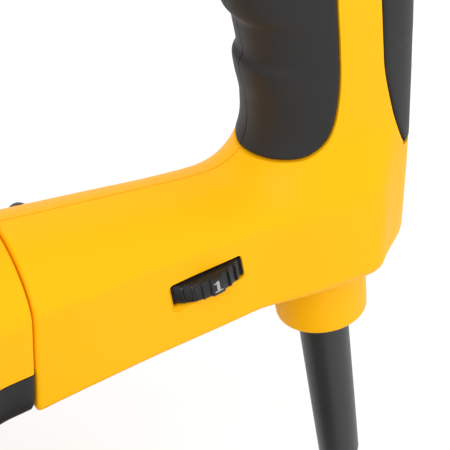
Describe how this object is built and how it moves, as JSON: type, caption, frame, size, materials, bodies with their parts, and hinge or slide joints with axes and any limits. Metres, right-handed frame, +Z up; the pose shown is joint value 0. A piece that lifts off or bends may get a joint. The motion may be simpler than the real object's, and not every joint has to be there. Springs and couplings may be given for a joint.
{
  "type": "wall chaser",
  "caption": "Hand-held wall chaser: twin cutting discs in a dust guard with a sliding depth shoe, in-line motor, front grip and closed loop rear handle with trigger, speed dial and mains lead.",
  "frame": {"origin": "middle of the tool's footprint on the floor, measured without the mains lead and what is on it", "axes": "+Z up, -X towards the discs and the front of the tool, -Y on the side of the discs and the speed dial"},
  "size_m": [0.4226, 0.162, 0.3115],
  "materials": {
    "yellow_shell": "satin moulded",
    "black_plastic": "satin moulded",
    "soft_grip": "soft matt",
    "cord_rubber": "satin",
    "cast_alloy": "as cast",
    "bright_steel": "ground",
    "dark_steel": "blackened",
    "laminations": "varnished sheet stack",
    "copper": "wound and machined",
    "disc_steel": "ground"
  },
  "bodies": {
    "tool": {"motor_housing": "yellow_shell", "handle_shell_left": "yellow_shell", "handle_shell_right": "yellow_shell", "motor_lower_strip": "black_plastic", "rear_bearing_bridge": "black_plastic", "speed_module": "black_plastic", "switch_body": "black_plastic", "guard_body": "black_plastic", "dust_port": "black_plastic", "guard_cover": "black_plastic", "mains_plug": "black_plastic", "front_pad_left": "soft_grip", "front_pad_right": "soft_grip", "rear_pad": "soft_grip", "front_handle": "soft_grip", "cord_protector": "cord_rubber", "mains_cord": "cord_rubber", "cord_coil": "cord_rubber", "gear_housing": "cast_alloy", "gear_cover": "cast_alloy", "spindle_bearing_outer": "bright_steel", "spindle_bearing_inner": "bright_steel", "layshaft_bearing_left": "bright_steel", "layshaft_bearing_right": "bright_steel", "armature_bearing_front": "bright_steel", "armature_bearing_rear": "bright_steel", "gear_cover_screw_1": "dark_steel", "gear_cover_screw_2": "dark_steel", "guard_screw_1": "dark_steel", "guard_screw_2": "dark_steel", "handle_screw_1": "dark_steel", "handle_screw_2": "dark_steel", "carbon_brush_left": "dark_steel", "carbon_brush_right": "dark_steel", "stator": "laminations", "brush_holder_left": "copper", "brush_holder_right": "copper"},
    "spindle": {"spindle": "bright_steel", "spindle_gear": "dark_steel", "inner_flange": "bright_steel", "diamond_disc_inner": "disc_steel", "diamond_disc_outer": "disc_steel", "disc_spacer": "bright_steel", "clamp_nut": "dark_steel"},
    "layshaft": {"layshaft_with_pinion": "bright_steel", "crown_gear": "dark_steel"},
    "armature": {"armature_shaft": "bright_steel", "armature_core": "copper", "commutator": "copper", "fan": "black_plastic", "bevel_pinion": "bright_steel"},
    "spindle_lock": {"spindle_lock_button": "black_plastic"},
    "trigger": {"trigger": "black_plastic"},
    "lock_on": {"lock_on_button": "black_plastic"},
    "speed_dial": {"speed_wheel": "black_plastic"},
    "shoe": {"depth_shoe": "dark_steel", "roller_axle": "bright_steel"},
    "roller_left": {"roller_left": "black_plastic"},
    "roller_right": {"roller_right": "black_plastic"},
    "depth_knob": {"depth_knob": "black_plastic"}
  },
  "joints": [
    {"name": "spindle_spin", "type": "hinge", "parent": "tool", "child": "spindle", "pos_m": [-0.10533, 0, 0.092], "axis": [0, 1, 0], "continuous": true},
    {"name": "layshaft_spin", "type": "hinge", "parent": "tool", "child": "layshaft", "pos_m": [-0.10963, 0.03585, 0.12976], "axis": [0, 1, 0], "continuous": true},
    {"name": "armature_spin", "type": "hinge", "parent": "tool", "child": "armature", "pos_m": [-0.10963, 0.03585, 0.12976], "axis": [0.9936, 0, 0.1132], "continuous": true},
    {"name": "spindle_lock_slide", "type": "slide", "parent": "tool", "child": "spindle_lock", "axis": [0.9936, 0, 0.1132], "range_m": [0, 0.004], "stiffness_N_per_m": 500, "springref_m": -0.004},
    {"name": "trigger_pull", "type": "hinge", "parent": "tool", "child": "trigger", "pos_m": [0.16813, 0.03585, 0.26749], "axis": [0, -1, 0], "range_deg": [0, 7], "stiffness_Nm_per_rad": 1.5, "springref_deg": -5.73},
    {"name": "lock_on_press", "type": "slide", "parent": "tool", "child": "lock_on", "axis": [0, 1, 0], "range_m": [0, 0.003], "stiffness_N_per_m": 600, "springref_m": -0.002},
    {"name": "speed_dial_turn", "type": "hinge", "parent": "tool", "child": "speed_dial", "pos_m": [0.13713, 0.02785, 0.15069], "axis": [-0.1736, 0, 0.9848], "range_deg": [0, 300]},
    {"name": "shoe_slide", "type": "slide", "parent": "tool", "child": "shoe", "axis": [0, 0, 1], "range_m": [0, 0.035]},
    {"name": "roller_left_spin", "type": "hinge", "parent": "shoe", "child": "roller_left", "pos_m": [-0.20233, -0.05965, 0.009], "axis": [0, 1, 0], "continuous": true},
    {"name": "roller_right_spin", "type": "hinge", "parent": "shoe", "child": "roller_right", "pos_m": [-0.20233, 0.05925, 0.009], "axis": [0, 1, 0], "continuous": true},
    {"name": "depth_knob_turn", "type": "hinge", "parent": "tool", "child": "depth_knob", "pos_m": [-0.03533, -0.06915, 0.06], "axis": [0, 1, 0], "range_deg": [0, 180]}
  ],
  "couplings": [
    {"joint": "layshaft_spin", "follows": "spindle_spin", "ratio": -1.9231},
    {"joint": "armature_spin", "follows": "spindle_spin", "ratio": 5.7692}
  ]
}
